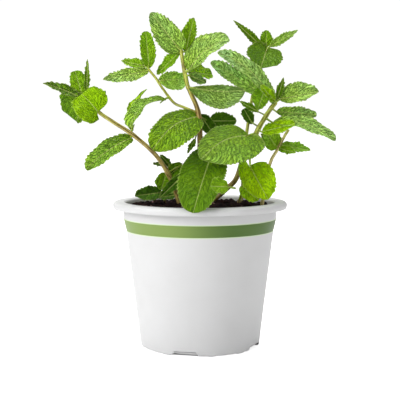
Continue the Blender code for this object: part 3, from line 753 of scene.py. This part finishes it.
def pot_profile():
    """The pot's section, from the middle of the inner floor up the inside, over the rolled rim and down the
    outside to the middle of the underside. Each corner is rounded by an arc in short steps."""
    inner = BASE_RADIUS - WALL
    corners = [
        (0.0, FLOOR, 0), (inner, FLOOR, 1.5), (WALL_RADIUS - WALL, WALL_HEIGHT, 0.5),
        (COLLAR_RADIUS - WALL, COLLAR_BOTTOM, 1.0), (COLLAR_RADIUS - WALL, RIM_TOP, 1.6),
        (LIP_RADIUS, RIM_TOP, 2.2), (LIP_RADIUS - LIP_LEAN, LIP_UNDERSIDE, 0.3),
        (LIP_RADIUS - 2.2, LIP_UNDERSIDE, 0.3), (LIP_RADIUS - 2.0, RIM_TOP - 1.6, 1.0),
        (COLLAR_RADIUS, RIM_TOP - 1.9, 0.8),
        (COLLAR_RADIUS, COLLAR_BOTTOM, 1.0), (WALL_RADIUS, WALL_HEIGHT, 0.5), (BASE_RADIUS, 0.0, 1.3),
        (0.0, 0.0, 0),
    ]
    places = np.array([corner[:2] for corner in corners])
    points = [places[:1]]
    for index in range(1, len(corners) - 1):
        here, radius = places[index], corners[index][2]
        before, after = unit(places[index - 1] - here), unit(places[index + 1] - here)
        turn = math.acos(float(np.clip(before @ after, -1, 1)))
        reach = radius / math.tan(turn / 2)
        centre = here + unit(before + after) * radius / math.sin(turn / 2)
        start, end = here + before * reach - centre, here + after * reach - centre
        share = np.linspace(0, 1, 7)[:, None]
        arc = unit(start + (end - start) * share) * radius
        points.append(centre + arc)
    points.append(places[-1:])
    points = np.concatenate(points)
    dense = [points[:1]]
    for first, second in zip(points[:-1], points[1:]):
        steps = max(1, round(np.linalg.norm(second - first) / 6))
        dense.append(first + (second - first) * np.linspace(0, 1, steps + 1)[1:, None])
    return np.concatenate(dense)


def make_pot(material):
    """The profile turned about the middle in 256 steps, its outer foot 0.45 mm up except on small feet."""
    profile = pot_profile()
    steps = 256
    angle = np.linspace(0, 2 * np.pi, steps, endpoint=False)
    radius = np.maximum(profile[:, :1], 0.02)
    height = np.repeat(profile[:, 1:], steps, 1)
    degrees = np.degrees(angle)
    foot = np.zeros(steps)
    for low, high in FOOT_SPANS:
        middle, half = (low + high) / 2, (high - low) / 2
        off = np.abs((degrees - middle + 180) % 360 - 180)
        foot = np.maximum(foot, smooth_step(half + 0.7, half - 0.7, off))
    rim = smooth_step(BASE_RADIUS - 4, BASE_RADIUS - 2.5, radius) * smooth_step(1.6, 0.2, height)
    height = height + 0.45 * rim * (1 - foot)
    # The angle runs from the front (-Y) towards +X.
    points = np.stack([radius * np.sin(angle), -radius * np.cos(angle), height], -1)
    sheets = Sheets()
    values = np.zeros((len(profile), steps, 9))
    sheets.add(points, grid_faces(len(profile), steps, closed=True, flip=True), 0, values)
    pot = sheets.piece("pot_wall", [material])
    cutters = bpy.data.collections.new("notch_cutters")
    for index, turn in enumerate(NOTCH_ANGLES):
        half = np.array([NOTCH_FOOT, NOTCH_FOOT, NOTCH_HEAD, NOTCH_HEAD]) / 2
        z = np.array([-1.0, -1.0, NOTCH_HEIGHT, NOTCH_HEIGHT])
        x = half * np.array([-1, 1, 1, -1])
        ring = [np.stack([x, np.full(4, -depth), z], -1) for depth in (BASE_RADIUS - 4, BASE_RADIUS + 3)]
        corners = np.concatenate(ring)
        c, s = math.cos(math.radians(turn)), math.sin(math.radians(turn))
        corners = corners @ np.array([[c, s, 0], [-s, c, 0], [0, 0, 1]])
        mesh = bpy.data.meshes.new(f"notch_{index}")
        sides = [(i, (i + 1) % 4, (i + 1) % 4 + 4, i + 4) for i in range(4)]
        mesh.from_pydata((corners * MM).tolist(), [], [(3, 2, 1, 0), (4, 5, 6, 7), *sides])
        mesh.update()
        cutters.objects.link(bpy.data.objects.new(f"notch_{index}", mesh))
    cut = pot.modifiers.new("notches", "BOOLEAN")
    cut.operation = "DIFFERENCE"
    cut.operand_type = "COLLECTION"
    cut.collection = cutters
    cut.solver = "EXACT"
    bpy.context.scene.collection.children.link(cutters)
    graph = bpy.context.evaluated_depsgraph_get()
    finished = bpy.data.meshes.new_from_object(pot.evaluated_get(graph))
    pot.modifiers.clear()
    pot.data = finished
    for thing in list(cutters.objects):
        bpy.data.objects.remove(thing)
    bpy.data.collections.remove(cutters)
    finished.shade_smooth()
    finished.set_sharp_from_angle(angle=math.radians(35))
    return pot


SOIL_EDGE, SOIL_MOUND, SOIL_LUMPS, SOIL_KNOBS = 90.4, 1.4, 0.7, 0.45


def soil_height(x, y, rng):
    """A low mound with broad lumps and knobs, and on it the highest of many crumbs, each a sunken ball."""
    edge = COLLAR_RADIUS - WALL - 0.3
    height = SOIL_EDGE + SOIL_MOUND * (1 - (x * x + y * y) / edge**2)
    lumps = np.sin(0.21 * x + 1.3) * np.sin(0.24 * y) + 0.4 * np.sin(0.32 * x - 0.27 * y)
    knobs = np.sin(0.45 * x + 1.3) * np.sin(0.52 * y) + 0.6 * np.sin(0.9 * x - 0.7 * y)
    height = height + SOIL_LUMPS * lumps + SOIL_KNOBS * knobs
    crumbs = 1500
    turn, away = rng.uniform(0, 2 * np.pi, crumbs), edge * np.sqrt(rng.uniform(0, 0.98, crumbs))
    size = rng.uniform(0.7, 2.3, crumbs)
    sink = rng.uniform(0.1, 0.7, crumbs) * size
    top = np.zeros_like(height)
    for index in range(crumbs):
        gap = (x - away[index] * np.cos(turn[index])) ** 2 + (y - away[index] * np.sin(turn[index])) ** 2
        ball = np.sqrt(np.clip(size[index] ** 2 - gap, 0, None)) - sink[index]
        top = np.maximum(top, ball)
    return height + 0.9 * (top - top.mean())


def make_soil(material):
    """A closed puck: a crumbly top on rings and spokes, a side just inside the pot, a flat underside."""
    rng = np.random.default_rng(7)
    rings, spokes = 110, 420
    edge = COLLAR_RADIUS - WALL - 0.3
    radius = edge * np.sqrt(np.linspace(0.00002, 1, rings))[:, None]
    angle = np.linspace(0, 2 * np.pi, spokes, endpoint=False)[None, :]
    x, y = radius * np.cos(angle), radius * np.sin(angle)
    z = soil_height(x, y, rng)
    z[-1] = SOIL_EDGE - 0.3
    bottom = 80.0
    low_edge = WALL_RADIUS - WALL - 0.2
    side = np.stack([low_edge * np.cos(angle), low_edge * np.sin(angle), bottom + 0 * angle], -1)
    heart = np.stack([0.02 * np.cos(angle), 0.02 * np.sin(angle), bottom + 0 * angle], -1)
    points = np.concatenate([np.stack([x, y, z], -1), side, heart])
    sheets = Sheets()
    sheets.add(points, grid_faces(rings + 2, spokes, closed=True), 0, np.zeros((rings + 2, spokes, 9)))
    return sheets.piece("soil_bed", [material])


# ---------------------------------------------------------------- stage

def area_light(name, place, target, size, power, colour=(1, 1, 1)):
    data = bpy.data.lights.new(name, "AREA")
    data.shape = "DISK"
    data.size = size
    data.energy = power
    data.color = colour
    light = bpy.data.objects.new(name, data)
    bpy.context.scene.collection.objects.link(light)
    direction = np.asarray(target, float) - np.asarray(place, float)
    light.location = place
    flat = math.hypot(direction[0], direction[1])
    turn = math.atan2(direction[1], direction[0]) - math.pi / 2
    light.rotation_euler = (math.atan2(flat, -direction[2]), 0, turn)
    return light


def make_stage():
    """A plain white floor and surround, a large soft light from the upper left and two weaker ones."""
    mesh = bpy.data.meshes.new("floor")
    mesh.from_pydata([(-6, -6, 0), (6, -6, 0), (6, 6, 0), (-6, 6, 0)], [], [(0, 1, 2, 3)])
    floor = bpy.data.objects.new("floor", mesh)
    bpy.context.scene.collection.objects.link(floor)
    made, tree, shader, output = new_material("white_floor")
    shader.inputs["Base Color"].default_value = (0.9, 0.9, 0.9, 1)
    shader.inputs["Roughness"].default_value = 0.9
    seen = add_node(tree, "ShaderNodeLightPath").outputs["Is Camera Ray"]
    glow = add_node(tree, "ShaderNodeEmission", Strength=math_node(tree, "MULTIPLY", seen, 0.8))
    both = add_node(tree, "ShaderNodeAddShader", i0=shader.outputs[0], i1=glow.outputs[0])
    tree.links.new(both.outputs[0], output.inputs["Surface"])
    mesh.materials.append(made)
    world = bpy.data.worlds.new("surround")
    world.use_nodes = True
    tree = world.node_tree
    tree.nodes["Background"].inputs["Color"].default_value = (1, 1, 1, 1)
    seen = add_node(tree, "ShaderNodeLightPath").outputs["Is Camera Ray"]
    strength = add_node(tree, "ShaderNodeMapRange", Value=seen)
    strength.inputs["To Min"].default_value = 0.5
    strength.inputs["To Max"].default_value = 1.05
    tree.links.new(strength.outputs[0], tree.nodes["Background"].inputs["Strength"])
    bpy.context.scene.world = world
    area_light("key_light", (-0.95, -0.65, 0.65), (0, 0, 0.12), 0.7, 8.8)
    area_light("top_light", (-0.1, 0.3, 1.0), (0, 0, 0.15), 0.6, 6.5)
    area_light("fill_light", (0.9, -0.7, 0.4), (0, 0, 0.1), 0.8, 0.6)


def make_camera():
    data = bpy.data.cameras.new("camera")
    data.sensor_width = 36.0
    data.lens = 91.26
    camera = bpy.data.objects.new("camera", data)
    bpy.context.scene.collection.objects.link(camera)
    camera.location = (0, -0.657, 0.152)
    camera.rotation_euler = (math.radians(90 - 4.98), 0, 0)
    bpy.context.scene.camera = camera


def main():
    scene = bpy.context.scene
    scene.view_settings.view_transform = "Standard"
    scene.view_settings.look = "None"
    veins = vein_group()
    finishes = [leaf_material("leaf_" + name, veins, looks) for name, looks in LEAF_LOOKS.items()]
    skin = stem_material()
    seed = 0
    for name, stems in PLANTS.items():
        leaves, tubes = Sheets(), Sheets()
        for number, one in enumerate(stems):
            add_stem(tubes, one, number == 0)
            for each in one["leaves"]:
                seed += 1
                add_leaf(leaves, each, seed)
        pieces = [leaves.piece(name + "_leaves", finishes), tubes.piece(name + "_stalks", [skin])]
        for piece in pieces:
            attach(piece, "root")
            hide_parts(name)
    pot = make_pot(pot_material())
    soil = make_soil(soil_material())
    for piece, node, slot in ((pot, "pot", "pot_plastic"), (soil, "soil", "potting_soil")):
        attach(piece, "root")
        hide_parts(node)
    make_stage()
    make_camera()


main()
